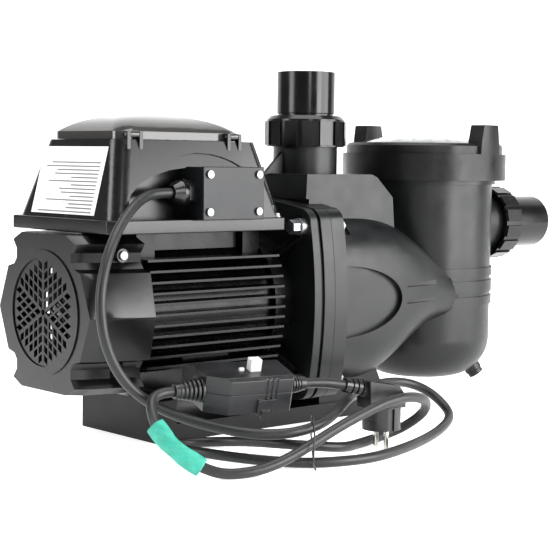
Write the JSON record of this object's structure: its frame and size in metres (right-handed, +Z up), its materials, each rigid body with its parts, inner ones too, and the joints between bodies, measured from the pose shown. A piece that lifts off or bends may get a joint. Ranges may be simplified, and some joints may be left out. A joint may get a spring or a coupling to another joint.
{
  "type": "pool pump",
  "caption": "Variable-speed pool circulation pump: plastic wet end with strainer pot, finned motor, top-mounted inverter box and a mains lead with in-line breaker and plug.",
  "frame": {"origin": "on the floor plane under the base, directly below the axis of the discharge port", "axes": "+Z up along the discharge port, +X along the motor shaft from the fan to the suction port, +Y away from the terminal box"},
  "size_m": [0.7569, 0.3615, 0.371],
  "materials": {
    "wet_end_plastic": "glass-filled black polypropylene, matt, slightly mottled",
    "union_plastic": "polished black PVC",
    "clear_lid": "clear polycarbonate",
    "motor_paint": "cast aluminium under black semi-gloss paint",
    "cowl_plastic": "satin black moulding",
    "inverter_plastic": "satin black moulding with soft gloss",
    "smoked_lid": "smoked translucent polycarbonate",
    "terminal_plastic": "satin grey-black moulding",
    "gland_nylon": "glossy black nylon",
    "bright_screw": "nickel plated steel",
    "shaft_steel": "ground steel",
    "copper_winding": "varnished copper wire",
    "seal_carbon": "lapped carbon and ceramic faces",
    "seal_rubber": "black nitrile rubber",
    "circuit_board": "green lacquered board",
    "key_grey": "grey silicone keys",
    "plate_white": "white printed film",
    "cord_rubber": "matt black rubber sheath",
    "switch_plastic": "fine-textured black moulding",
    "button_white": "white moulded button",
    "pin_nickel": "nickel plated brass",
    "tag_teal": "woven-look teal adhesive tag",
    "tie_wire": "plastic-coated tie wire"
  },
  "bodies": {
    "pump": {"base": "cowl_plastic", "breaker_base": "switch_plastic", "breaker_cover": "switch_plastic", "breaker_reliefs": "switch_plastic", "cover_screws": "bright_screw", "cowl_screws": "bright_screw", "diffuser": "wet_end_plastic", "fan_cowl": "cowl_plastic", "flange_bolts": "bright_screw", "flange_nuts": "bright_screw", "front_shield": "motor_paint", "gland_body": "gland_nylon", "gland_nut": "gland_nylon", "ground_screw": "bright_screw", "inverter_board": "circuit_board", "inverter_case": "inverter_plastic", "inverter_deck": "inverter_plastic", "keypad_panel": "inverter_plastic", "lead_tag": "tag_teal", "lead_tie": "tie_wire", "lid_hinge_pins": "bright_screw", "lid_seal": "seal_rubber", "motor_frame": "motor_paint", "plug_body": "switch_plastic", "plug_cord": "cord_rubber", "plug_pins": "pin_nickel", "pump_housing": "wet_end_plastic", "rating_plate": "plate_white", "rear_shield": "motor_paint", "seal_plate": "wet_end_plastic", "seal_seat": "seal_carbon", "shaft_bearings": "shaft_steel", "stator_core": "shaft_steel", "stator_windings": "copper_winding", "strainer_pot": "wet_end_plastic", "supply_cord": "cord_rubber", "terminal_box": "terminal_plastic", "terminal_cover": "terminal_plastic", "union_seals": "seal_rubber"},
    "rotor": {"motor_shaft": "shaft_steel", "rotor_core": "shaft_steel", "seal_head": "seal_carbon", "cooling_fan": "cowl_plastic", "impeller": "wet_end_plastic"},
    "inverter_lid": {"inverter_lid": "smoked_lid"},
    "run_key": {"run_key": "key_grey"},
    "slower_key": {"slower_key": "key_grey"},
    "faster_key": {"faster_key": "key_grey"},
    "mode_key": {"mode_key": "key_grey"},
    "strainer_lid": {"strainer_lid": "clear_lid"},
    "lock_ring": {"lock_ring": "wet_end_plastic"},
    "basket": {"strainer_basket": "wet_end_plastic"},
    "basket_bail": {"basket_bail": "wet_end_plastic"},
    "discharge_tailpiece": {"discharge_tailpiece": "union_plastic"},
    "discharge_nut": {"discharge_nut": "union_plastic"},
    "inlet_tailpiece": {"inlet_tailpiece": "union_plastic"},
    "inlet_nut": {"inlet_nut": "union_plastic"},
    "drain_plug": {"drain_plug": "wet_end_plastic"},
    "test_button": {"test_button": "button_white"},
    "reset_button": {"reset_button": "button_white"}
  },
  "joints": [
    {"name": "rotor_spin", "type": "hinge", "parent": "pump", "child": "rotor", "pos_m": [-0.2, 0, 0.128], "axis": [1, 0, 0], "continuous": true},
    {"name": "inverter_lid_hinge", "type": "hinge", "parent": "pump", "child": "inverter_lid", "pos_m": [-0.217, -0.0615, 0.298], "axis": [1, 0, 0], "range_deg": [0, 110]},
    {"name": "run_key_press", "type": "slide", "parent": "pump", "child": "run_key", "axis": [0, 0, -1], "range_m": [0, 0.0012], "stiffness_N_per_m": 600},
    {"name": "slower_key_press", "type": "slide", "parent": "pump", "child": "slower_key", "axis": [0, 0, -1], "range_m": [0, 0.0012], "stiffness_N_per_m": 600},
    {"name": "faster_key_press", "type": "slide", "parent": "pump", "child": "faster_key", "axis": [0, 0, -1], "range_m": [0, 0.0012], "stiffness_N_per_m": 600},
    {"name": "mode_key_press", "type": "slide", "parent": "pump", "child": "mode_key", "axis": [0, 0, -1], "range_m": [0, 0.0012], "stiffness_N_per_m": 600},
    {"name": "strainer_lid_lift", "type": "slide", "parent": "pump", "child": "strainer_lid", "axis": [0, 0, 1], "range_m": [0, 0.3]},
    {"name": "lock_ring_turn", "type": "hinge", "parent": "strainer_lid", "child": "lock_ring", "pos_m": [0.192, 0, 0.27], "axis": [0, 0, 1], "range_deg": [0, 45]},
    {"name": "basket_lift", "type": "slide", "parent": "pump", "child": "basket", "axis": [0, 0, 1], "range_m": [0, 0.18]},
    {"name": "bail_swing", "type": "hinge", "parent": "basket", "child": "basket_bail", "pos_m": [0.192, 0, 0.239], "axis": [0, -1, 0], "range_deg": [0, 90]},
    {"name": "discharge_tailpiece_lift", "type": "slide", "parent": "pump", "child": "discharge_tailpiece", "axis": [0, 0, 1], "range_m": [0, 0.0181]},
    {"name": "discharge_nut_turn", "type": "hinge", "parent": "discharge_tailpiece", "child": "discharge_nut", "pos_m": [0, 0, 0.3], "axis": [0, 0, 1], "range_deg": [0, 1080]},
    {"name": "inlet_tailpiece_slide", "type": "slide", "parent": "pump", "child": "inlet_tailpiece", "axis": [1, 0, 0], "range_m": [0, 0.0181]},
    {"name": "inlet_nut_turn", "type": "hinge", "parent": "inlet_tailpiece", "child": "inlet_nut", "pos_m": [0.3, 0, 0.2022], "axis": [1, 0, 0], "range_deg": [0, 1080]},
    {"name": "drain_plug_pull", "type": "slide", "parent": "pump", "child": "drain_plug", "axis": [0.4273, -0.3827, -0.8192], "range_m": [0, 0.015]},
    {"name": "test_button_press", "type": "slide", "parent": "pump", "child": "test_button", "axis": [0.0652, 0.2505, -0.9659], "range_m": [0, 0.0015], "stiffness_N_per_m": 500},
    {"name": "reset_button_press", "type": "slide", "parent": "pump", "child": "reset_button", "axis": [0.0652, 0.2505, -0.9659], "range_m": [0, 0.0025], "stiffness_N_per_m": 500}
  ],
  "couplings": [
    {"joint": "basket_lift", "follows": "strainer_lid_lift", "ratio": 0.6},
    {"joint": "discharge_tailpiece_lift", "follows": "discharge_nut_turn", "m_per_rad": 0.00095493},
    {"joint": "inlet_tailpiece_slide", "follows": "inlet_nut_turn", "m_per_rad": 0.00095493}
  ]
}
